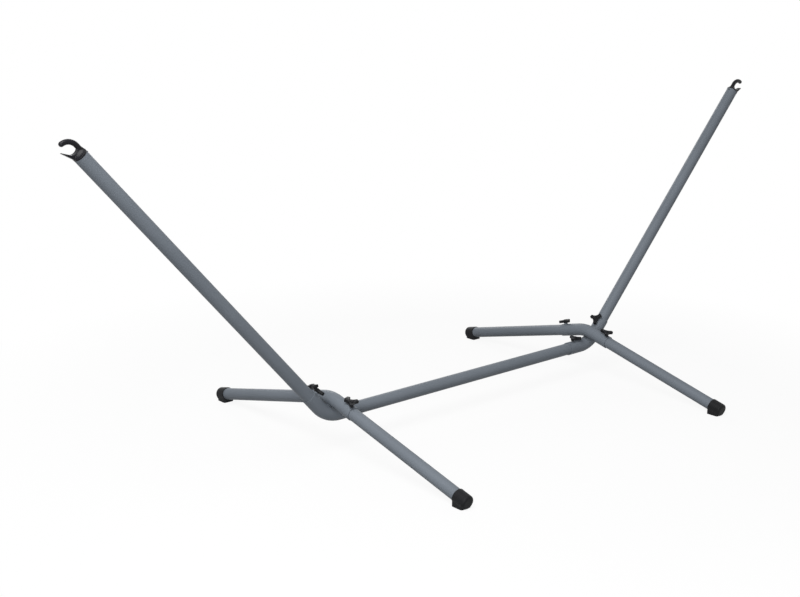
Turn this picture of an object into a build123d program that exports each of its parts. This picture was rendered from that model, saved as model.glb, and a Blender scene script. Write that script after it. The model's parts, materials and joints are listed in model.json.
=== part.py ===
from build123d import *
import math
import os

# Free-standing hammock stand of bent and straight steel tube, clamped together by hand knobs.
# The spine lies along X, the feet stand on z = 0, and the middle of the stand is at x = 0 and y = 0.
# All sizes are in millimetres and degrees.

# Tubes
tube_od = 48.0
tube_wall = 1.5
leg_od = 45.7
leg_wall = 1.5
sleeve_wall = 2.0
sleeve_fit = 0.8
socket_stop = 1.0

# Lengths of the straight tubes
spine_length = 1310.0
upright_length = 1310.0
leg_length = 669.0

# Bent sleeves: the elbow at each end of the spine and the bow that crosses it
upright_angle = 48.05
elbow_radius = 125.0
spine_socket = 78.0
upright_socket = 68.0
leg_slope = 13.85
bow_radius = 150.0
bow_turn = 28.5
leg_socket = 91.0

# Weld ring where the bow lies on the elbow
weld_gap = 0.4
weld_radius = 12.5
weld_core = 6.0

# Clamp knobs, their studs and the weld nuts that they turn in
knob_inset = 20.0
spine_knob_inset = 44.0
stud_diameter = 8.0
stud_point_diameter = 6.0
stud_point_length = 3.0
stud_gap = 0.3
stud_grip = 11.0
thread_fit = 0.05
stud_hole_room = 0.5
nut_width = 14.0
nut_height = 4.0
knob_gap = 1.0
knob_radius = 28.0
knob_waist = 12.5
knob_scallop = 26.0
knob_neck_radius = 9.0
knob_neck_height = 1.5
knob_arm_height = 11.0
knob_crown_radius = 8.0
knob_crown_height = 2.0
knob_crown_round = 1.2
knob_corner = 5.0
knob_edge = 2.0
knob_turns = {
    "left": {"spine": 30.0, "upright": 114.0, "front_leg": 82.0, "back_leg": 75.0},
    "right": {"spine": 18.0, "upright": 82.0, "front_leg": 70.0, "back_leg": 42.0},
}

# Foot caps
cap_wall = 3.2
cap_overlap = 33.0
cap_end = 20.0
cap_round = 9.0
cap_lip = 1.0
push_fit = 0.05
sole_wall = 3.0
pad_width = 45.0
pad_length = 50.0
pad_corner = 8.0

# Hooks at the upper ends of the uprights
plug_length = 45.0
plug_chamfer = 2.0
collar_rim = 0.6
collar_height = 6.0
bar_diameter = 17.0
bar_offset = 13.0
bar_run = 30.0
bar_bend = 38.0
bar_sweep = 79.0
neck_height = 12.0
neck_width = 25.0
web_height = 32.0
web_width = 10.0
throat_run = 36.0
throat_drop = 6.5
throat_radius = 18.0
lip_width = 18.0
lip_reach = 47.0
lip_drop = 14.0
lip_tip = 3.2
lip_round = 1.4

# Screw that holds each hook
screw_inset = 8.0
screw_diameter = 3.5
screw_length = 14.0
screw_head_diameter = 6.5
screw_head_height = 1.8
screw_slot_width = 0.9
screw_slot_length = 3.6
screw_slot_depth = 0.9
screw_hole_room = 0.2

# Sizes that follow from the ones above
tube_radius = tube_od / 2
leg_radius = leg_od / 2
elbow_bore = tube_radius + sleeve_fit
elbow_outer = elbow_bore + sleeve_wall
bow_bore = leg_radius + sleeve_fit
bow_outer = bow_bore + sleeve_wall
cap_bore = leg_radius + push_fit
cap_outer = cap_bore + cap_wall
plug_radius = tube_radius - tube_wall - push_fit
collar_radius = tube_radius + collar_rim

rise = math.radians(upright_angle)
slope = math.radians(leg_slope)
turn = math.radians(bow_turn)
elbow_tangent = elbow_radius * math.tan(rise / 2)
bow_tangent = bow_radius * math.tan(slope)
corner_x = spine_length / 2 + socket_stop + elbow_tangent

# The bow's axis crosses the inside of the elbow's bend, one weld gap clear of it
bow_depth = elbow_radius - elbow_outer - bow_outer - weld_gap
bow_x = corner_x - elbow_tangent + bow_depth * math.sin(turn)
crown_rise = elbow_radius - bow_depth * math.cos(turn)
apex_rise = crown_rise + bow_radius * (1 / math.cos(slope) - 1)

# Distances along each axis, counted from the corner or the apex where the axes cross
upright_start = elbow_tangent + socket_stop
upright_top = upright_start + upright_length
leg_start = bow_tangent + socket_stop
leg_end = leg_start + leg_length
spine_sleeve = elbow_tangent + spine_socket
upright_sleeve = elbow_tangent + upright_socket
leg_sleeve = bow_tangent + leg_socket
cap_mouth = leg_end - cap_overlap
cap_tip = leg_end + cap_end

# The sole's thickness under the end of each leg sets the height of everything else
foot_rise = leg_radius * math.cos(slope) + sole_wall
apex_height = leg_end * math.sin(slope) + foot_rise
spine_height = apex_height - apex_rise

os.makedirs("parts", exist_ok=True)


def finish(piece, name):
    """Name a finished piece and write it."""
    piece.label = name
    export_step(piece, f"parts/{name}.step")


def throat_point(direction):
    """Point on the throat's circle in a hook's side view, at a direction in radians."""
    return (throat_run + throat_radius * math.cos(direction), throat_radius * math.sin(direction) - throat_drop)


# Side view of a hook's lower lip: its upper edge leaves the throat's circle along a tangent
lip_low = -tube_radius - lip_drop
lip_high = lip_low + lip_tip
tip_run = lip_reach - throat_run
tip_rise = lip_high + throat_drop
foot_turn = math.acos(throat_radius / math.hypot(tip_run, tip_rise))
foot_direction = math.atan2(tip_rise, tip_run) - foot_turn
lip_foot = throat_point(foot_direction)
lip_bend = throat_point((foot_direction - math.pi) / 2)
lip_heel = throat_point(-math.pi)
lip_back = (collar_height / 2, lip_heel[1])
lip_start = (collar_height / 2, -math.sqrt(tube_radius**2 - (lip_width / 2) ** 2))
bar_outer = bar_offset + bar_diameter / 2

# Spine
spine_start = Plane(origin=(-spine_length / 2, 0, spine_height), z_dir=(1, 0, 0))
with BuildPart() as spine_tube:
    with BuildSketch(spine_start):
        Circle(tube_radius)
        Circle(tube_radius - tube_wall, mode=Mode.SUBTRACT)
    extrude(amount=spine_length)
finish(spine_tube.part, "spine_tube")

for side, sx in (("left", -1), ("right", 1)):
    corner = Vector(sx * corner_x, 0, spine_height)
    apex = Vector(sx * bow_x, 0, apex_height)
    inward = Vector(-sx, 0, 0)
    above = Vector(0, 0, 1)
    upward = Vector(sx * math.cos(rise), 0, math.sin(rise))
    upper = Vector(-sx * math.sin(rise), 0, math.cos(rise))
    leg_ends = {"front": -1, "back": 1}
    leg_axes = {end: Vector(0, sy * math.cos(slope), -math.sin(slope)) for end, sy in leg_ends.items()}
    leg_tops = {end: Vector(0, sy * math.sin(slope), math.cos(slope)) for end, sy in leg_ends.items()}

    # Where the four knobs stand: a point on the tube's axis, with x along the tube and z out of it
    spine_station = Plane(
        origin=corner + inward * (spine_sleeve - spine_knob_inset), x_dir=inward, z_dir=above
    )
    upright_station = Plane(
        origin=corner + upward * (upright_sleeve - knob_inset), x_dir=upward, z_dir=upper
    )
    leg_stations = {
        end: Plane(
            origin=apex + leg_axes[end] * (leg_sleeve - knob_inset), x_dir=leg_axes[end], z_dir=leg_tops[end]
        )
        for end in leg_ends
    }

    # Elbow: a bent sleeve with one straight socket for the spine and one for the upright
    elbow_mouth = corner + inward * spine_sleeve
    elbow_top = corner + upward * upright_sleeve
    with BuildLine() as elbow_path:
        FilletPolyline(elbow_mouth, corner, elbow_top, radius=elbow_radius)
    elbow_section = Plane(origin=elbow_mouth, z_dir=-inward)
    with BuildPart() as elbow_blank:
        with BuildSketch(elbow_section):
            Circle(elbow_outer)
        sweep(path=elbow_path.wires()[0])
    with BuildPart() as elbow:
        with BuildSketch(elbow_section):
            Circle(elbow_outer)
            Circle(elbow_bore, mode=Mode.SUBTRACT)
        sweep(path=elbow_path.wires()[0])
        for station in (spine_station, upright_station):
            with BuildSketch(station):
                Circle(stud_diameter / 2 + stud_hole_room)
            extrude(amount=elbow_outer + nut_height, mode=Mode.SUBTRACT)
    finish(elbow.part, f"{side}_elbow")

    # Bow: an arched sleeve with a straight socket for a leg at each end
    bow_front = apex + leg_axes["front"] * leg_sleeve
    bow_back = apex + leg_axes["back"] * leg_sleeve
    with BuildLine() as bow_path:
        FilletPolyline(bow_front, apex, bow_back, radius=bow_radius)
    bow_section = Plane(origin=bow_front, z_dir=-leg_axes["front"])
    with BuildPart() as bow_blank:
        with BuildSketch(bow_section):
            Circle(bow_outer)
        sweep(path=bow_path.wires()[0])
    with BuildPart() as bow:
        with BuildSketch(bow_section):
            Circle(bow_outer)
            Circle(bow_bore, mode=Mode.SUBTRACT)
        sweep(path=bow_path.wires()[0])
        for end in leg_ends:
            with BuildSketch(leg_stations[end]):
                Circle(stud_diameter / 2 + stud_hole_room)
            extrude(amount=bow_outer + nut_height, mode=Mode.SUBTRACT)
    finish(bow.part, f"{side}_bow")

    # Weld: a ring between the two tubes, round the point where they come closest
    towards_elbow = Vector(sx * math.sin(turn), 0, -math.cos(turn))
    bend_centre = corner + inward * elbow_tangent + above * elbow_radius
    weld_centre = bend_centre + towards_elbow * (elbow_radius - elbow_outer - weld_gap / 2)
    with BuildPart() as weld:
        with BuildSketch(Plane(origin=weld_centre, z_dir=towards_elbow)):
            Circle(weld_radius)
            Circle(weld_core, mode=Mode.SUBTRACT)
        extrude(amount=weld_radius / 2, both=True)
        add(elbow_blank.part, mode=Mode.SUBTRACT)
        add(bow_blank.part, mode=Mode.SUBTRACT)
    finish(weld.part, f"{side}_weld")

    # Weld nuts: six-sided, seated on the curve of their sleeves
    with BuildPart() as weld_nuts:
        for station, outer in (
            (spine_station, elbow_outer),
            (upright_station, elbow_outer),
            (leg_stations["front"], bow_outer),
            (leg_stations["back"], bow_outer),
        ):
            with BuildSketch(station.offset(outer - nut_height)):
                RegularPolygon(nut_width / 2, 6, major_radius=False)
            extrude(amount=2 * nut_height)
            with BuildSketch(station):
                Circle(stud_diameter / 2 + thread_fit)
            extrude(amount=outer + 2 * nut_height, mode=Mode.SUBTRACT)
        add(elbow_blank.part, mode=Mode.SUBTRACT)
        add(bow_blank.part, mode=Mode.SUBTRACT)
    finish(weld_nuts.part, f"{side}_weld_nuts")

    # Upright, with a hole near its top for the screw of the hook
    rim_centre = corner + upward * upright_top
    screw_station = Plane(origin=rim_centre - upward * screw_inset, x_dir=upward, z_dir=upper)
    with BuildPart() as upright:
        with BuildSketch(Plane(origin=corner + upward * upright_start, z_dir=upward)):
            Circle(tube_radius)
            Circle(tube_radius - tube_wall, mode=Mode.SUBTRACT)
        extrude(amount=upright_length)
        with BuildSketch(screw_station):
            Circle(screw_diameter / 2 + screw_hole_room)
        extrude(amount=2 * tube_radius, mode=Mode.SUBTRACT)
    finish(upright.part, f"{side}_upright")

    # Hook: a plug and collar, a neck that narrows to a web, a round bar and a thin lower lip
    hook_base = Plane(origin=rim_centre, x_dir=upper, z_dir=upward)
    hook_side = Plane(origin=rim_centre, x_dir=upward, z_dir=upward.cross(upper))
    with BuildLine(hook_side) as bar_path:
        Line((collar_height / 2, bar_offset), (bar_run, bar_offset))
        CenterArc((bar_run, bar_offset - bar_bend), bar_bend, 90, -bar_sweep)
    bar_wire = bar_path.wires()[0]
    with BuildPart() as hook:
        with BuildSketch(hook_base):
            Circle(plug_radius)
        extrude(amount=-plug_length)
        chamfer(hook.faces().sort_by(Axis(rim_centre, upward))[0].edges(), plug_chamfer)
        with BuildSketch(hook_base):
            Circle(collar_radius)
        extrude(amount=collar_height)
        with BuildSketch(hook_base.offset(collar_height)):
            Ellipse(tube_radius, tube_radius)
        with BuildSketch(hook_base.offset(neck_height)):
            Ellipse((tube_radius + bar_outer) / 2, neck_width / 2)
        with BuildSketch(hook_base.offset(web_height)):
            Ellipse(bar_outer, web_width / 2)
        loft()
        with BuildSketch(hook_side):
            with Locations((throat_run, -throat_drop)):
                Circle(throat_radius)
        extrude(amount=2 * tube_radius, both=True, mode=Mode.SUBTRACT)
        with BuildSketch(hook_side):
            with BuildLine():
                Polyline(lip_heel, lip_back, lip_start, (lip_reach, lip_low), (lip_reach, lip_high), lip_foot)
                ThreePointArc(lip_foot, lip_bend, lip_heel)
            make_face()
            fillet(vertices().sort_by(Axis(rim_centre, upward))[-2:], lip_round)
        extrude(amount=lip_width / 2, both=True)
        with BuildSketch(Plane(origin=bar_wire @ 0, z_dir=bar_wire % 0)):
            Circle(bar_diameter / 2)
        sweep(path=bar_wire)
        with Locations(bar_wire @ 1):
            Sphere(bar_diameter / 2)
        with BuildSketch(screw_station):
            Circle(screw_diameter / 2 + thread_fit)
        extrude(amount=2 * tube_radius, mode=Mode.SUBTRACT)
    finish(hook.part, f"{side}_hook")

    # Screw of the hook: a round head with a cross slot on a straight shank
    with BuildPart() as hook_screw:
        with BuildSketch(screw_station.offset(tube_radius - screw_length)):
            Circle(screw_diameter / 2)
        extrude(amount=screw_length)
        with BuildSketch(screw_station.offset(tube_radius)):
            Circle(screw_head_diameter / 2)
        extrude(amount=screw_head_height)
        head_top = hook_screw.faces().sort_by(Axis(rim_centre, upper))[-1]
        fillet(head_top.edges(), screw_head_height / 2)
        with BuildSketch(screw_station.offset(tube_radius + screw_head_height)):
            Rectangle(screw_slot_length, screw_slot_width)
            Rectangle(screw_slot_width, screw_slot_length)
        extrude(amount=-screw_slot_depth, mode=Mode.SUBTRACT)
    finish(hook_screw.part, f"{side}_hook_screw")

    # Legs and their foot caps
    for end, sy in leg_ends.items():
        leg_axis = leg_axes[end]
        with BuildPart() as leg:
            with BuildSketch(Plane(origin=apex + leg_axis * leg_start, z_dir=leg_axis)):
                Circle(leg_radius)
                Circle(leg_radius - leg_wall, mode=Mode.SUBTRACT)
            extrude(amount=leg_length)
        finish(leg.part, f"{side}_{end}_leg")

        mouth_centre = apex + leg_axis * cap_mouth
        pad_start = cap_mouth * math.cos(slope) - cap_outer * math.sin(slope)
        pad_centre = Vector(sx * bow_x, sy * (pad_start + pad_length / 2), 0)
        with BuildPart() as foot:
            with BuildSketch(Plane(origin=mouth_centre, z_dir=leg_axis)):
                Circle(cap_outer)
            extrude(amount=cap_tip - cap_mouth)
            ends = foot.faces().filter_by(GeomType.PLANE).sort_by(Axis(mouth_centre, leg_axis))
            fillet(ends[-1].edges(), cap_round)
            fillet(ends[0].edges(), cap_lip)
            with BuildSketch(Plane(origin=pad_centre)):
                RectangleRounded(pad_width, pad_length, pad_corner)
            extrude(amount=foot_rise)
            with BuildSketch(Plane(origin=pad_centre)):
                Rectangle(4 * cap_outer, 4 * cap_outer)
            extrude(amount=-2 * cap_outer, mode=Mode.SUBTRACT)
            with BuildSketch(Plane(origin=apex + leg_axis * leg_end, z_dir=-leg_axis)):
                Circle(cap_bore)
            extrude(amount=2 * cap_overlap, mode=Mode.SUBTRACT)
        finish(foot.part, f"{side}_{end}_foot")

    # Studs and knobs
    for place, station, outer, inner in (
        ("spine", spine_station, elbow_outer, tube_radius),
        ("upright", upright_station, elbow_outer, tube_radius),
        ("front_leg", leg_stations["front"], bow_outer, leg_radius),
        ("back_leg", leg_stations["back"], bow_outer, leg_radius),
    ):
        stud_tip = inner + stud_gap
        neck_base = outer + nut_height + knob_gap
        arm_base = neck_base + knob_neck_height
        with BuildPart() as stud:
            with BuildSketch(station.offset(stud_tip)):
                Circle(stud_point_diameter / 2)
            extrude(amount=stud_point_length)
            with BuildSketch(station.offset(stud_tip + stud_point_length)):
                Circle(stud_diameter / 2)
            extrude(amount=neck_base + stud_grip - stud_tip - stud_point_length)
        finish(stud.part, f"{side}_{place}_stud")

        knob_axis = Axis(station.origin, station.z_dir)
        with BuildPart() as knob:
            with BuildSketch(station.offset(arm_base)):
                Circle(knob_radius)
                with PolarLocations(knob_waist + knob_scallop, 3, start_angle=60 + knob_turns[side][place]):
                    Circle(knob_scallop, mode=Mode.SUBTRACT)
                fillet(vertices(), knob_corner)
            extrude(amount=knob_arm_height)
            fillet(knob.faces().filter_by(knob_axis).edges(), knob_edge)
            with BuildSketch(station.offset(neck_base)):
                Circle(knob_neck_radius)
            extrude(amount=knob_neck_height + knob_arm_height / 2)
            with BuildSketch(station.offset(arm_base + knob_arm_height / 2)):
                Circle(knob_crown_radius)
            extrude(amount=knob_arm_height / 2 + knob_crown_height)
            crown = knob.faces().filter_by(knob_axis).sort_by(knob_axis)[-1]
            fillet(crown.edges(), knob_crown_round)
            with BuildSketch(station.offset(neck_base)):
                Circle(stud_diameter / 2 + thread_fit)
            extrude(amount=stud_grip, mode=Mode.SUBTRACT)
        finish(knob.part, f"{side}_{place}_knob")
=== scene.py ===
"""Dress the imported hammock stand: finishes, moulded fittings, threads, welds and a plain studio.

The stand is a straight spine tube with a bent sleeve at each end. Each sleeve takes a sloping
upright that ends in a hook, and an arched cross sleeve on it takes two legs with foot caps. Eight
hand knobs clamp the tubes. All sizes are in metres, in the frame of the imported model: +X along
the spine towards the right, +Y towards the back legs, +Z up, with the floor at z = 0.
"""
from __future__ import annotations

import json
import logging
import math
from collections.abc import Iterator, Mapping
from dataclasses import dataclass, field
from enum import Enum

import bmesh
import bpy
from mathutils import Matrix, Vector

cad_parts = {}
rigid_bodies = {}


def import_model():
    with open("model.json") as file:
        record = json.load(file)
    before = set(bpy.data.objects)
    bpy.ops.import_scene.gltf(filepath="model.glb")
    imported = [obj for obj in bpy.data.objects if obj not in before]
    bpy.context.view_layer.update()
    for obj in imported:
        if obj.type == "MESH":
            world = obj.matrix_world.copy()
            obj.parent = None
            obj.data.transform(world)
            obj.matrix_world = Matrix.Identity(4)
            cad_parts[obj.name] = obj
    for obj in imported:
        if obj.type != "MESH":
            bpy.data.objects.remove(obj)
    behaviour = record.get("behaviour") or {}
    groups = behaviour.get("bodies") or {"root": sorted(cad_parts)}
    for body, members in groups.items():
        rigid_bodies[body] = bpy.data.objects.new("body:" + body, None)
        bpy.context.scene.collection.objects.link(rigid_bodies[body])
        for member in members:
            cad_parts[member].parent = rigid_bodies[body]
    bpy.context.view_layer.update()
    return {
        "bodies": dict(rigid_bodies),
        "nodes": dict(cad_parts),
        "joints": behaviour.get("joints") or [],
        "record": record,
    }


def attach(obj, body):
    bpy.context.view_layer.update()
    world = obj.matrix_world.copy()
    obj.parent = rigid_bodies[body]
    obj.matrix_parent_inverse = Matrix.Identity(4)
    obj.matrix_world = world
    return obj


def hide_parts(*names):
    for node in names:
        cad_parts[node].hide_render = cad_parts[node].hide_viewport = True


log = logging.getLogger("hammock_stand")

Colour = tuple[float, float, float]
Socket = bpy.types.NodeSocket

# Middle value of a noise pattern, and how far from it the pattern mostly stays.
NOISE_MIDDLE = 0.5
NOISE_SPREAD = 0.2
WHITE = (1.0, 1.0, 1.0, 1.0)


class Side(Enum):
    """The two ends of the stand, with the sign of X on that end."""

    LEFT = -1
    RIGHT = 1

    @property
    def word(self) -> str:
        """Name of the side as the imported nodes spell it."""
        return self.name.lower()


class Place(Enum):
    """The four sockets at each end that a hand knob clamps."""

    SPINE = "spine"
    UPRIGHT = "upright"
    FRONT_LEG = "front_leg"
    BACK_LEG = "back_leg"


class Slot(Enum):
    """Material slots of the stand."""

    STEEL = "painted_steel"
    HOOK = "hook_plastic"
    FOOT = "foot_plastic"
    KNOB = "knob_plastic"
    ZINC = "zinc_steel"
    BLACK = "black_steel"


class Graph:
    """A node tree that is being wired, for a material, a world or a mesh."""

    def __init__(self, tree: bpy.types.NodeTree) -> None:
        """Keep the tree and start it empty.

        Args:
            tree: Node tree to wire.
        """
        self.tree = tree
        tree.nodes.clear()

    def add(
        self, kind: str, inputs: Mapping[str | int, object] | None = None, **settings: object
    ) -> bpy.types.Node:
        """Add one node.

        Args:
            kind: Blender's type name of the node.
            inputs: Values or sockets for its inputs, by name or place.
            settings: Properties of the node that are set before its inputs.

        Returns:
            The new node.
        """
        node = self.tree.nodes.new(kind)
        for name, value in settings.items():
            setattr(node, name, value)
        for name, value in (inputs or {}).items():
            if isinstance(value, Socket):
                self.link(value, node, name)
            else:
                node.inputs[name].default_value = value
        return node

    def out(
        self, kind: str, inputs: Mapping[str | int, object] | None = None, **settings: object
    ) -> Socket:
        """Add one node as in add and give its first output."""
        return self.add(kind, inputs, **settings).outputs[0]

    def link(self, value: Socket, node: bpy.types.Node, name: str | int) -> None:
        """Wire a value into an input of a node, by name or place."""
        self.tree.links.new(value, node.inputs[name])

    def math(self, operation: str, *values: object) -> Socket:
        """Add a Math node.

        Args:
            operation: Blender's name of the operation.
            values: Numbers or sockets, in order.

        Returns:
            The node's result.
        """
        return self.out("ShaderNodeMath", dict(enumerate(values)), operation=operation)

    def noise(self, where: Socket, size: float, octaves: float) -> Socket:
        """Add a noise pattern whose features are about as large as asked.

        Args:
            where: Coordinates in metres.
            size: Size of a feature in metres.
            octaves: Octaves of finer noise.

        Returns:
            The pattern's value, about NOISE_MIDDLE on average.
        """
        inputs = {"Vector": where, "Scale": 1.0 / size, "Detail": octaves}
        return self.out("ShaderNodeTexNoise", inputs)

    def blend(self, fine: Socket, broad: Socket, share: float) -> Socket:
        """Mix two patterns.

        Args:
            fine: Fine pattern.
            broad: Broad pattern.
            share: Share of the fine one, from 0 to 1.

        Returns:
            The mixed value.
        """
        return self.math("MULTIPLY_ADD", fine, share, self.math("MULTIPLY", broad, 1.0 - share))

    def ramp(self, value: Socket, stops: list[tuple[float, Colour]]) -> Socket:
        """Turn a value into a colour.

        Args:
            value: Value from 0 to 1.
            stops: Places and colours, from low to high.

        Returns:
            The colour.
        """
        node = self.add("ShaderNodeValToRGB", {0: value})
        elements = node.color_ramp.elements
        while len(elements) < len(stops):
            elements.new(1.0)
        for element, (place, colour) in zip(elements, stops):
            element.position = place
            element.color = (*colour, 1.0)
        return node.outputs[0]

    def remap(
        self, value: Socket, start: tuple[float, float], end: tuple[float, float]
    ) -> Socket:
        """Turn one range of values into another.

        Args:
            value: Value to turn.
            start: Lowest and highest value that come in.
            end: The values that they become.

        Returns:
            The turned value, held inside the new range.
        """
        return self.out("ShaderNodeMapRange", {
            "Value": value, "From Min": start[0], "From Max": start[1],
            "To Min": end[0], "To Max": end[1],
        })

    def bump(self, height: Socket, depth: float, under: Socket | None = None) -> Socket:
        """Add a bump of a real depth.

        Args:
            height: Pattern from 0 to 1.
            depth: Depth in metres.
            under: Normal that this bump lies on, if there is one.

        Returns:
            The bent normal.
        """
        inputs: dict[str | int, object] = {"Height": height, "Distance": depth, "Strength": 1.0}
        if under is not None:
            inputs["Normal"] = under
        return self.out("ShaderNodeBump", inputs)

    def join(self, *shapes: Socket) -> Socket:
        """Join shapes into one."""
        whole = self.add("GeometryNodeJoinGeometry")
        for shape in shapes:
            self.link(shape, whole, 0)
        return whole.outputs[0]

    def background_share(self) -> Socket:
        """Value that is 1 for rays that show the background, directly or mirrored."""
        path = self.add("ShaderNodeLightPath").outputs
        mirrored = self.math("MAXIMUM", path["Is Glossy Ray"], path["Is Transmission Ray"])
        return self.math("MAXIMUM", path["Is Camera Ray"], mirrored)


def shade(colour: Colour, factor: float) -> Colour:
    """Lighten or darken a colour."""
    return tuple(min(1.0, c * factor) for c in colour)


@dataclass(frozen=True)
class Mottle:
    """How far a pattern moves a finish to either side of its plain colour and roughness.

    Attributes:
        spread: Distance of the end colours from the middle of the pattern.
        dark: Factor on the colour at the low end.
        light: Factor on the colour at the high end.
        smoother: How far the roughness falls.
        rougher: How far the roughness rises.
        middle: Factor on the colour in the middle.
    """

    spread: float
    dark: float
    light: float
    smoother: float
    rougher: float
    middle: float = 1.0


@dataclass(frozen=True)
class Finish:
    """A surface finish, made as one material."""

    slot: Slot
    colour: Colour
    roughness: float
    mottle: Mottle

    def material(self) -> bpy.types.Material:
        """Make the material of this finish.

        Returns:
            The material, wired to a Principled shader.
        """
        material = bpy.data.materials.new(self.slot.value)
        material.use_nodes = True
        graph = Graph(material.node_tree)
        shader = graph.add("ShaderNodeBsdfPrincipled")
        where = graph.add("ShaderNodeTexCoord").outputs["Object"]
        self.wire(graph, shader, where)
        graph.add("ShaderNodeOutputMaterial", {"Surface": shader.outputs[0]})
        material.diffuse_color = (*self.colour, 1.0)
        return material

    def wire(self, graph: Graph, shader: bpy.types.Node, where: Socket) -> None:
        """Wire colour, roughness and relief into the shader.

        Args:
            graph: Tree of the material.
            shader: Its Principled shader.
            where: Object coordinates in metres.
        """
        raise NotImplementedError

    def paint(self, graph: Graph, shader: bpy.types.Node, tone: Socket, wear: Socket) -> None:
        """Wire the mottled colour and roughness.

        Args:
            graph: Tree of the material.
            shader: Its Principled shader.
            tone: Pattern that moves the colour.
            wear: Pattern that moves the roughness.
        """
        mottle = self.mottle
        stops = [
            (NOISE_MIDDLE - mottle.spread, shade(self.colour, mottle.dark)),
            (NOISE_MIDDLE, shade(self.colour, mottle.middle)),
            (NOISE_MIDDLE + mottle.spread, shade(self.colour, mottle.light)),
        ]
        graph.link(graph.ramp(tone, stops), shader, "Base Color")
        rough = graph.remap(
            wear,
            (NOISE_MIDDLE - NOISE_SPREAD, NOISE_MIDDLE + NOISE_SPREAD),
            (self.roughness - mottle.smoother, self.roughness + mottle.rougher),
        )
        graph.link(rough, shader, "Roughness")


@dataclass(frozen=True)
class PowderCoat(Finish):
    """Satin powder coat: a soft orange peel, faint clouds in the colour and fine flecks."""

    mottle: Mottle = Mottle(spread=0.14, dark=0.94, light=1.06, smoother=0.05, rougher=0.06)
    cloud: float = 0.22
    peel: float = 0.0030
    peel_depth: float = 0.00003
    fleck: float = 0.0007
    fleck_depth: float = 0.000006
    fleck_share: float = 0.3
    gloss: float = 0.16

    def wire(self, graph: Graph, shader: bpy.types.Node, where: Socket) -> None:
        """Wire the coat. See Finish.wire."""
        clouds = graph.noise(where, self.cloud, octaves=3.0)
        flecks = graph.noise(where, self.fleck, octaves=1.0)
        peel = graph.noise(where, self.peel, octaves=2.0)
        self.paint(graph, shader, graph.blend(flecks, clouds, self.fleck_share), peel)
        grain = graph.bump(flecks, self.fleck_depth)
        graph.link(graph.bump(peel, self.peel_depth, grain), shader, "Normal")
        shader.inputs["Specular IOR Level"].default_value = self.gloss


@dataclass(frozen=True)
class MouldedPlastic(Finish):
    """Black moulded plastic with a fine spark grain and faint flow marks."""

    mottle: Mottle = Mottle(spread=0.16, dark=0.75, light=1.35, smoother=0.05, rougher=0.07)
    grain: float = 0.0009
    grain_depth: float = 0.00006
    grain_share: float = 0.45
    flow: float = 0.018
    gloss: float = 0.12

    def wire(self, graph: Graph, shader: bpy.types.Node, where: Socket) -> None:
        """Wire the plastic. See Finish.wire."""
        grain = graph.noise(where, self.grain, octaves=3.0)
        flow = graph.noise(where, self.flow, octaves=2.0)
        self.paint(graph, shader, graph.blend(grain, flow, self.grain_share), flow)
        graph.link(graph.bump(grain, self.grain_depth), shader, "Normal")
        shader.inputs["Specular IOR Level"].default_value = self.gloss


@dataclass(frozen=True)
class ZincPlate(Finish):
    """Bright zinc plating with a fine spangle and dulled patches."""

    mottle: Mottle = Mottle(spread=0.25, dark=0.78, light=1.12, smoother=0.08, rougher=0.12)
    spangle: float = 0.0016
    spangle_share: float = 0.4
    patch: float = 0.007

    def wire(self, graph: Graph, shader: bpy.types.Node, where: Socket) -> None:
        """Wire the plating. See Finish.wire."""
        cells = graph.add("ShaderNodeTexVoronoi", {"Vector": where, "Scale": 1.0 / self.spangle})
        patches = graph.noise(where, self.patch, octaves=3.0)
        tone = graph.blend(cells.outputs["Distance"], patches, self.spangle_share)
        self.paint(graph, shader, tone, patches)
        shader.inputs["Metallic"].default_value = 1.0


@dataclass(frozen=True)
class BlackOxide(Finish):
    """Blackened steel with an uneven, slightly oily film."""

    mottle: Mottle = Mottle(
        spread=0.15, dark=0.8, light=1.3, smoother=0.06, rougher=0.08, middle=1.05
    )
    film: float = 0.0012
    gloss: float = 0.3

    def wire(self, graph: Graph, shader: bpy.types.Node, where: Socket) -> None:
        """Wire the film. See Finish.wire."""
        film = graph.noise(where, self.film, octaves=3.0)
        self.paint(graph, shader, film, film)
        shader.inputs["Specular IOR Level"].default_value = self.gloss


FINISHES: tuple[Finish, ...] = (
    PowderCoat(Slot.STEEL, (0.158, 0.179, 0.206), 0.50),
    MouldedPlastic(Slot.HOOK, (0.0050, 0.0050, 0.0072), 0.30, grain_depth=0.00003, gloss=0.18),
    MouldedPlastic(Slot.FOOT, (0.0100, 0.0103, 0.0115), 0.56),
    MouldedPlastic(Slot.KNOB, (0.0065, 0.0070, 0.0085), 0.46),
    ZincPlate(Slot.ZINC, (0.56, 0.56, 0.57), 0.32),
    BlackOxide(Slot.BLACK, (0.012, 0.012, 0.013), 0.40),
)


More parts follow.
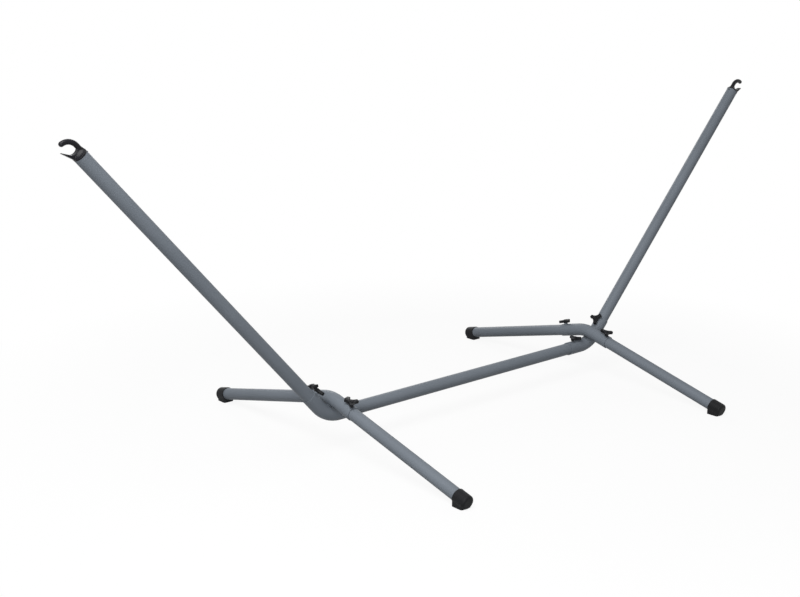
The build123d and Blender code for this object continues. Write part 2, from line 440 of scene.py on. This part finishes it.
@dataclass
class MeshTree:
    """A Geometry Nodes tree with named inputs, run once on an empty mesh."""

    name: str
    graph: Graph = field(init=False)

    def __post_init__(self) -> None:
        """Start the tree with one geometry output."""
        tree = bpy.data.node_groups.new(self.name, "GeometryNodeTree")
        tree.interface.new_socket("Geometry", in_out="OUTPUT", socket_type="NodeSocketGeometry")
        self.graph = Graph(tree)

    def inputs(self, names: Mapping[str, str]) -> dict[str, Socket]:
        """Args:
            names: Input names and their socket types.

        Returns:
            The sockets inside the tree, by name.
        """
        for name, kind in names.items():
            self.graph.tree.interface.new_socket(name, in_out="INPUT", socket_type=kind)
        source = self.graph.add("NodeGroupInput")
        return {name: source.outputs[name] for name in names}

    def close(self, shape: Socket, material: Socket) -> None:
        """Realize the shape, set its material and end the tree."""
        smooth = self.graph.out("GeometryNodeSetShadeSmooth", {"Geometry": shape})
        real = self.graph.out("GeometryNodeRealizeInstances", {"Geometry": smooth})
        dressed = self.graph.out(
            "GeometryNodeSetMaterial", {"Geometry": real, "Material": material}
        )
        self.graph.add("NodeGroupOutput", {0: dressed})

    def run(self, name: str, values: Mapping[str, object], place: Matrix) -> bpy.types.Object:
        """Make a plain mesh object with this tree.

        Args:
            name: Name of the object.
            values: Values of the named inputs.
            place: Where the tree's own frame lies in the stand's frame.

        Returns:
            The object, at the origin, with its place in its mesh.
        """
        piece = bpy.data.objects.new(name, bpy.data.meshes.new(name))
        bpy.context.scene.collection.objects.link(piece)
        modifier = piece.modifiers.new(self.name, "NODES")
        modifier.node_group = self.graph.tree
        for item in self.graph.tree.interface.items_tree:
            if item.item_type == "SOCKET" and item.in_out == "INPUT":
                modifier[item.identifier] = values[item.name]
        return bake(piece, place)


def bake(piece: bpy.types.Object, place: Matrix | None = None) -> bpy.types.Object:
    """Turn a piece's modifiers into its mesh.

    Args:
        piece: Object with modifiers.
        place: Transform of the finished mesh, if it needs one.

    Returns:
        The same object, with no modifiers.
    """
    graph = bpy.context.evaluated_depsgraph_get()
    mesh = bpy.data.meshes.new_from_object(piece.evaluated_get(graph))
    mesh.name = piece.name
    if place is not None:
        mesh.transform(place)
    spare = piece.data
    piece.modifiers.clear()
    piece.data = mesh
    bpy.data.meshes.remove(spare)
    return piece


def basis(origin: Vector, along: Vector, out: Vector) -> Matrix:
    """Frame with X along a tube and Z out of it.

    Args:
        origin: Origin of the frame.
        along: Direction of X.
        out: Direction of Z, square to along.

    Returns:
        The frame as a matrix.
    """
    rows = Matrix((along, out.cross(along), out)).transposed().to_4x4()
    rows.translation = origin
    return rows


@dataclass(frozen=True)
class Layout:
    """Axes of the stand's tubes, from which sockets, clamps and welds take their places."""

    tube_radius: float = 0.024
    leg_radius: float = 0.02285
    sleeve_step: float = 0.0028
    spine_half: float = 0.656
    elbow_bend: float = 0.125
    bow_bend: float = 0.150
    weld_gap: float = 0.0004
    spine_socket: float = 0.078
    upright_socket: float = 0.068
    leg_socket: float = 0.091
    knob_inset: float = 0.020
    spine_knob_inset: float = 0.044
    spine_height: float = 0.128339
    apex_height: float = 0.194424
    rise: float = math.radians(48.05)
    slope: float = math.radians(13.85)
    contact: float = math.radians(28.5)

    @property
    def elbow_outer(self) -> float:
        """Outer radius of the elbow sleeves."""
        return self.tube_radius + self.sleeve_step

    @property
    def bow_outer(self) -> float:
        """Outer radius of the bow sleeves."""
        return self.leg_radius + self.sleeve_step

    @property
    def elbow_tangent(self) -> float:
        """Distance from an elbow's corner to the ends of its bend."""
        return self.elbow_bend * math.tan(self.rise / 2)

    def corner(self, side: Side) -> Vector:
        """Point where the axes of the spine and an upright cross."""
        reach = self.spine_half + self.elbow_tangent
        return Vector((side.value * reach, 0.0, self.spine_height))

    def apex(self, side: Side) -> Vector:
        """Point where the axes of the two legs of an end cross."""
        depth = self.elbow_bend - self.elbow_outer - self.bow_outer - self.weld_gap
        reach = self.spine_half + depth * math.sin(self.contact)
        return Vector((side.value * reach, 0.0, self.apex_height))

    def bend_centre(self, side: Side) -> Vector:
        """Centre of an elbow's bend."""
        return Vector((side.value * self.spine_half, 0.0, self.spine_height + self.elbow_bend))

    def weld_frame(self, side: Side) -> Matrix:
        """Frame between an elbow and its bow, with X along the elbow and Z towards the bow."""
        lean = Vector((side.value * math.sin(self.contact), 0.0, -math.cos(self.contact)))
        reach = self.elbow_bend - self.elbow_outer - self.weld_gap / 2
        along = Vector((math.cos(self.contact), 0.0, side.value * math.sin(self.contact)))
        return basis(self.bend_centre(side) + lean * reach, along, -lean)

    def station(self, side: Side, place: Place) -> tuple[Matrix, float, float]:
        """Place of one clamp.

        Args:
            side: End of the stand.
            place: Socket at that end.

        Returns:
            A frame on the tube's axis with Z out along the clamp, the sleeve's outer radius and
            the radius of the tube inside it.
        """
        sign = side.value
        origin, outer, inner = self.corner(side), self.elbow_outer, self.tube_radius
        if place is Place.SPINE:
            along, out = Vector((-sign, 0.0, 0.0)), Vector((0.0, 0.0, 1.0))
            run = self.elbow_tangent + self.spine_socket - self.spine_knob_inset
        elif place is Place.UPRIGHT:
            along = Vector((sign * math.cos(self.rise), 0.0, math.sin(self.rise)))
            out = Vector((-sign * math.sin(self.rise), 0.0, math.cos(self.rise)))
            run = self.elbow_tangent + self.upright_socket - self.knob_inset
        else:
            way = -1.0 if place is Place.FRONT_LEG else 1.0
            origin, outer, inner = self.apex(side), self.bow_outer, self.leg_radius
            along = Vector((0.0, way * math.cos(self.slope), -math.sin(self.slope)))
            out = Vector((0.0, way * math.sin(self.slope), math.cos(self.slope)))
            run = self.bow_bend * math.tan(self.slope) + self.leg_socket - self.knob_inset
        return basis(origin + along * run, along, out), outer, inner


@dataclass
class ClampStuds:
    """The eight threaded studs that the hand knobs turn, with a rolled thread and a dog point."""

    layout: Layout
    material: bpy.types.Material
    radius: float = 0.004
    depth: float = 0.00066
    pitch: float = 0.00125
    point_radius: float = 0.003
    point_length: float = 0.003
    gap: float = 0.0003
    reach: float = 0.016
    steps_per_turn: int = 24
    ridge_sides: int = 4
    rod_sides: int = 32
    tree: MeshTree = field(init=False)

    def __post_init__(self) -> None:
        """Build the tree: a core, a helical ridge on it and the point."""
        self.tree = MeshTree("rolled_thread")
        graph = self.tree.graph
        size = self.tree.inputs({
            "Radius": "NodeSocketFloat", "Thread Depth": "NodeSocketFloat",
            "Pitch": "NodeSocketFloat", "Length": "NodeSocketFloat",
            "Point Radius": "NodeSocketFloat", "Point Length": "NodeSocketFloat",
            "Material": "NodeSocketMaterial",
        })
        core = graph.math("SUBTRACT", size["Radius"], size["Thread Depth"])
        turns = graph.math("DIVIDE", size["Length"], size["Pitch"])
        helix = graph.out("GeometryNodeCurveSpiral", {
            "Resolution": self.steps_per_turn, "Rotations": turns,
            "Start Radius": core, "End Radius": core, "Height": size["Length"],
        })
        steady = graph.out("GeometryNodeSetCurveNormal", {"Curve": helix}, mode="Z_UP")
        ridge = graph.add("GeometryNodeCurvePrimitiveCircle", {
            "Resolution": self.ridge_sides, "Radius": size["Thread Depth"],
        })
        thread = graph.out("GeometryNodeCurveToMesh", {
            "Curve": steady, "Profile Curve": ridge.outputs["Curve"], "Fill Caps": True,
        })
        shank = self.rod(core, size["Length"], 1)
        point = self.rod(size["Point Radius"], size["Point Length"], -1)
        self.tree.close(graph.join(thread, shank, point), size["Material"])

    def rod(self, radius: Socket, length: Socket, way: int) -> Socket:
        """Add a round rod with one end at z = 0.

        Args:
            radius: Radius of the rod.
            length: Length of the rod.
            way: 1 for a rod that goes up from there, -1 for one that goes down.

        Returns:
            The rod.
        """
        graph = self.tree.graph
        solid = graph.add("GeometryNodeMeshCylinder", {
            "Vertices": self.rod_sides, "Radius": radius, "Depth": length,
        })
        lift = graph.out("ShaderNodeCombineXYZ", {"Z": graph.math("MULTIPLY", length, way / 2)})
        return graph.out("GeometryNodeTransform", {
            "Geometry": solid.outputs["Mesh"], "Translation": lift,
        })

    def build(self) -> Iterator[bpy.types.Object]:
        """Make the studs, one for each clamp body.

        Yields:
            Each finished stud.
        """
        for side in Side:
            for place in Place:
                frame, outer, inner = self.layout.station(side, place)
                start = inner + self.gap + self.point_length
                node = f"{side.word}_{place.value}_stud"
                values = {
                    "Radius": self.radius, "Thread Depth": self.depth, "Pitch": self.pitch,
                    "Length": outer + self.reach - start, "Point Radius": self.point_radius,
                    "Point Length": self.point_length, "Material": self.material,
                }
                place_at = frame @ Matrix.Translation((0.0, 0.0, start))
                piece = self.tree.run(f"{node}_thread", values, place_at)
                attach(piece, node)
                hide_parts(node)
                yield piece


@dataclass
class WeldBeads:
    """The rippled weld bead between each elbow and the bow that lies on it."""

    layout: Layout
    material: bpy.types.Material
    ring_radius: float = 0.0100
    bead_radius: float = 0.0015
    ripple: float = 0.0013
    core_share: float = 0.86
    flatness: float = 0.62
    least_swell: float = 0.93
    most_swell: float = 1.07
    seed: int = 7
    ring_steps: int = 96
    bead_sides: int = 12
    bead_rings: int = 8
    tree: MeshTree = field(init=False)

    def __post_init__(self) -> None:
        """Build the tree: a saddle-shaped ring with overlapping ripples along it."""
        self.tree = MeshTree("weld_ripples")
        graph = self.tree.graph
        size = self.tree.inputs({
            "Ring Radius": "NodeSocketFloat", "Bead Radius": "NodeSocketFloat",
            "Ripple": "NodeSocketFloat", "Rise Along": "NodeSocketFloat",
            "Fall Across": "NodeSocketFloat", "Seed": "NodeSocketInt",
            "Material": "NodeSocketMaterial",
        })
        ring = graph.add("GeometryNodeCurvePrimitiveCircle", {
            "Resolution": self.ring_steps, "Radius": size["Ring Radius"],
        })
        where = graph.add("ShaderNodeSeparateXYZ", {0: graph.out("GeometryNodeInputPosition")})
        square_x = graph.math("MULTIPLY", where.outputs["X"], where.outputs["X"])
        square_y = graph.math("MULTIPLY", where.outputs["Y"], where.outputs["Y"])
        along = graph.math("MULTIPLY", square_x, size["Rise Along"])
        across = graph.math("MULTIPLY", square_y, size["Fall Across"])
        lift = graph.out("ShaderNodeCombineXYZ", {"Z": graph.math("SUBTRACT", along, across)})
        saddle = graph.out("GeometryNodeSetPosition", {
            "Geometry": ring.outputs["Curve"], "Offset": lift,
        })
        section = graph.add("GeometryNodeCurvePrimitiveCircle", {
            "Resolution": self.bead_sides,
            "Radius": graph.math("MULTIPLY", size["Bead Radius"], self.core_share),
        })
        core = graph.out("GeometryNodeCurveToMesh", {
            "Curve": saddle, "Profile Curve": section.outputs["Curve"],
        })
        spots = graph.out(
            "GeometryNodeResampleCurve", {"Curve": saddle, "Length": size["Ripple"]}, mode="LENGTH"
        )
        drop = graph.out("GeometryNodeMeshUVSphere", {
            "Segments": self.bead_sides, "Rings": self.bead_rings, "Radius": size["Bead Radius"],
        })
        flat = graph.out("GeometryNodeTransform", {
            "Geometry": drop, "Scale": (1.0, 1.0, self.flatness),
        })
        tangent = graph.out("GeometryNodeInputTangent")
        turn = graph.out("FunctionNodeAlignRotationToVector", {"Vector": tangent}, axis="Z")
        # Inputs 2 and 3 and output 1 are the ones that the node uses for a plain number.
        swell = graph.add(
            "FunctionNodeRandomValue",
            {2: self.least_swell, 3: self.most_swell, "Seed": size["Seed"]},
            data_type="FLOAT",
        )
        ripples = graph.out("GeometryNodeInstanceOnPoints", {
            "Points": spots, "Instance": flat, "Rotation": turn, "Scale": swell.outputs[1],
        })
        self.tree.close(graph.join(core, ripples), size["Material"])

    def build(self) -> Iterator[bpy.types.Object]:
        """Make the bead of each end.

        Yields:
            Each finished bead.
        """
        lay = self.layout
        # The ring lies midway between two crossed tubes, so it takes the mean of their curvatures.
        rise = (1.0 / (lay.elbow_bend - lay.elbow_outer) + 1.0 / lay.bow_outer) / 4
        fall = (1.0 / lay.elbow_outer + 1.0 / (lay.bow_bend - lay.bow_outer)) / 4
        for side in Side:
            node = f"{side.word}_weld"
            values = {
                "Ring Radius": self.ring_radius, "Bead Radius": self.bead_radius,
                "Ripple": self.ripple, "Rise Along": rise, "Fall Across": fall,
                "Seed": self.seed, "Material": self.material,
            }
            piece = self.tree.run(f"{node}_bead", values, lay.weld_frame(side))
            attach(piece, f"{side.word}_end")
            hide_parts(node)
            yield piece


@dataclass
class MouldedFittings:
    """Plastic fittings with the soft edges of a moulding: the hooks or the foot caps."""

    nodes: Mapping[str, bpy.types.Object]
    slot: Slot
    material: bpy.types.Material
    pairs: Mapping[str, str]
    voxel: float
    merge_distance: float = 1e-6
    softening: int = 8
    softening_step: float = 0.5

    def build(self) -> Iterator[bpy.types.Object]:
        """Make each fitting.

        Yields:
            Each finished fitting.
        """
        for node, body in self.pairs.items():
            piece = self.soften(node)
            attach(piece, body)
            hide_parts(node)
            yield piece

    def soften(self, node: str) -> bpy.types.Object:
        """Round the edges and inner corners of one fitting.

        Args:
            node: Name of the solid that it follows.

        Returns:
            The softened piece.
        """
        mesh = bpy.data.meshes.new(f"{node}_moulded")
        work = bmesh.new()
        work.from_mesh(self.nodes[node].data)
        bmesh.ops.remove_doubles(work, verts=work.verts, dist=self.merge_distance)
        work.to_mesh(mesh)
        work.free()
        piece = bpy.data.objects.new(mesh.name, mesh)
        bpy.context.scene.collection.objects.link(piece)
        skin = piece.modifiers.new("skin", "REMESH")
        skin.mode = "VOXEL"
        skin.voxel_size = self.voxel
        ease = piece.modifiers.new("ease", "SMOOTH")
        ease.factor = self.softening_step
        ease.iterations = self.softening
        bake(piece)
        piece.data.materials.clear()
        piece.data.materials.append(self.material)
        piece.data.shade_smooth()
        return piece


def dress(
    nodes: Mapping[str, bpy.types.Object],
    slots: Mapping[str, str],
    materials: Mapping[Slot, bpy.types.Material],
) -> None:
    """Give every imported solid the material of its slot.

    Args:
        nodes: The solids, by node name.
        slots: Name of each node's material slot.
        materials: The material of each slot.
    """
    for name, node in nodes.items():
        material = materials[Slot(slots[name])]
        for place in node.material_slots:
            place.material = material


@dataclass(frozen=True)
class Lamp:
    """One large round soft lamp that points at the stand.

    Attributes:
        name: Name of the lamp.
        source: Where it hangs.
        width: How wide it is.
        strength: How strongly it lights the middle of the stand.
    """

    name: str
    source: tuple[float, float, float]
    width: float
    strength: float

    def hang(self) -> None:
        """Hang the lamp."""
        light = bpy.data.lights.new(self.name, "AREA")
        light.shape = "DISK"
        light.size = self.width
        spot = Vector(self.source)
        light.energy = self.strength * math.pi * spot.length_squared
        lamp = bpy.data.objects.new(self.name, light)
        lamp.location = spot
        lamp.rotation_euler = (-spot).to_track_quat("-Z", "Y").to_euler()
        bpy.context.scene.collection.objects.link(lamp)


@dataclass
class Studio:
    """A white floor under soft light, seen from the photograph's place.

    Attributes:
        focal: Focal length as a share of the picture's width.
        floor_tone: Tone of the floor as it lights the stand.
        paper_tone: Tone of the floor as it shows.
        floor_glow: Share of plain white in the floor near the stand.
        shadow_reach: Distance from the middle beyond which the floor is plain white.
        shadow_core: Share of that distance at which the shadows start to fade.
        ambient: Strength of the surroundings as they light the stand.
    """

    eye: tuple[float, float, float] = (-3.44020, -3.45544, 1.72295)
    azimuth: float = math.radians(-41.6434)
    elevation: float = math.radians(14.7614)
    roll: float = math.radians(0.7022)
    focal: float = 1303.86 / 800.0
    sensor_mm: float = 36.0
    far_clip: float = 200.0
    floor_size: float = 40.0
    floor_tone: float = 0.14
    paper_tone: float = 0.90
    floor_glow: float = 0.90
    shadow_reach: float = 2.2
    shadow_core: float = 0.6
    ambient: float = 0.22
    lamps: tuple[Lamp, ...] = (
        Lamp("key_lamp", (-2.5, -1.1, 3.9), 3.2, 2.05),
        Lamp("front_lamp", (-4.4, -4.4, 1.6), 3.0, 1.35),
        Lamp("back_lamp", (2.6, 5.0, 2.4), 3.0, 0.65),
    )

    def floor_material(self) -> bpy.types.Material:
        """Make the floor's material: paper with soft shadows that fades into plain white.

        Returns:
            The material.
        """
        material = bpy.data.materials.new("studio_floor")
        material.use_nodes = True
        graph = Graph(material.node_tree)
        seen = graph.background_share()
        step = self.paper_tone - self.floor_tone
        tone = graph.math("MULTIPLY_ADD", seen, step, self.floor_tone)
        paper = graph.out("ShaderNodeBsdfDiffuse", {"Color": tone})
        glow = graph.out("ShaderNodeEmission", {"Color": WHITE, "Strength": 1.0})
        where = graph.add("ShaderNodeTexCoord").outputs["Object"]
        far = graph.add("ShaderNodeVectorMath", {0: where}, operation="LENGTH").outputs["Value"]
        fade = (self.shadow_reach * self.shadow_core, self.shadow_reach)
        share = graph.math("MULTIPLY", seen, graph.remap(far, fade, (self.floor_glow, 1.0)))
        surface = graph.out("ShaderNodeMixShader", {0: share, 1: paper, 2: glow})
        graph.add("ShaderNodeOutputMaterial", {"Surface": surface})
        return material

    def lay_floor(self) -> None:
        """Lay the floor."""
        half = self.floor_size / 2
        mesh = bpy.data.meshes.new("studio_floor")
        corners = [(-half, -half, 0), (half, -half, 0), (half, half, 0), (-half, half, 0)]
        mesh.from_pydata(corners, [], [(0, 1, 2, 3)])
        mesh.materials.append(self.floor_material())
        floor = bpy.data.objects.new("studio_floor", mesh)
        bpy.context.scene.collection.objects.link(floor)

    def light_world(self) -> None:
        """Fill the surroundings with even light, white where it shows."""
        world = bpy.data.worlds.new("studio_world")
        world.use_nodes = True
        graph = Graph(world.node_tree)
        seen = graph.background_share()
        strength = graph.math("MULTIPLY_ADD", seen, 1.0 - self.ambient, self.ambient)
        sky = graph.out("ShaderNodeBackground", {"Color": WHITE, "Strength": strength})
        graph.add("ShaderNodeOutputWorld", {"Surface": sky})
        bpy.context.scene.world = world

    def place_camera(self) -> None:
        """Place the camera as fitted to the photograph."""
        lens = bpy.data.cameras.new("photo_camera")
        lens.sensor_fit = "HORIZONTAL"
        lens.sensor_width = self.sensor_mm
        lens.lens = self.focal * lens.sensor_width
        lens.clip_end = self.far_clip
        turn, tilt, roll = self.azimuth, self.elevation, self.roll
        level = Vector((-math.sin(turn), math.cos(turn), 0.0))
        ahead = level * math.cos(tilt) - Vector((0.0, 0.0, math.sin(tilt)))
        right = Vector((math.cos(turn), math.sin(turn), 0.0))
        up = right.cross(ahead)
        across = right * math.cos(roll) + up * math.sin(roll)
        upright = up * math.cos(roll) - right * math.sin(roll)
        camera = bpy.data.objects.new("photo_camera", lens)
        matrix = Matrix((across, upright, -ahead)).transposed().to_4x4()
        matrix.translation = Vector(self.eye)
        camera.matrix_world = matrix
        bpy.context.scene.collection.objects.link(camera)
        bpy.context.scene.camera = camera

    def build(self) -> None:
        """Set up floor, surroundings, lamps and camera."""
        bpy.context.scene.view_settings.view_transform = "Standard"
        self.lay_floor()
        self.light_world()
        for lamp in self.lamps:
            lamp.hang()
        self.place_camera()


def main() -> None:
    """Load the stand, dress it, add its fine pieces and set up the studio."""
    logging.basicConfig(level=logging.INFO, format="%(name)s: %(message)s")
    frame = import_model()
    nodes = frame["nodes"]
    record = frame["record"]
    materials = {finish.slot: finish.material() for finish in FINISHES}
    slots = {part["node"]: part["material_slot"] for part in record["subparts"]}
    dress(nodes, slots, materials)

    layout = Layout()
    bodies = {
        node: body for body, members in record["behaviour"]["bodies"].items() for node in members
    }
    hooks = {node: bodies[node] for node in nodes if node.endswith("_hook")}
    feet = {node: bodies[node] for node in nodes if node.endswith("_foot")}
    fittings = (
        ClampStuds(layout, materials[Slot.ZINC]),
        WeldBeads(layout, materials[Slot.STEEL]),
        MouldedFittings(nodes, Slot.HOOK, materials[Slot.HOOK], hooks, voxel=0.0007),
        MouldedFittings(nodes, Slot.FOOT, materials[Slot.FOOT], feet, voxel=0.0009),
    )
    for group in fittings:
        for piece in group.build():
            log.info("%s: %d faces", piece.name, len(piece.data.polygons))

    Studio().build()


if __name__ == "__main__":
    main()
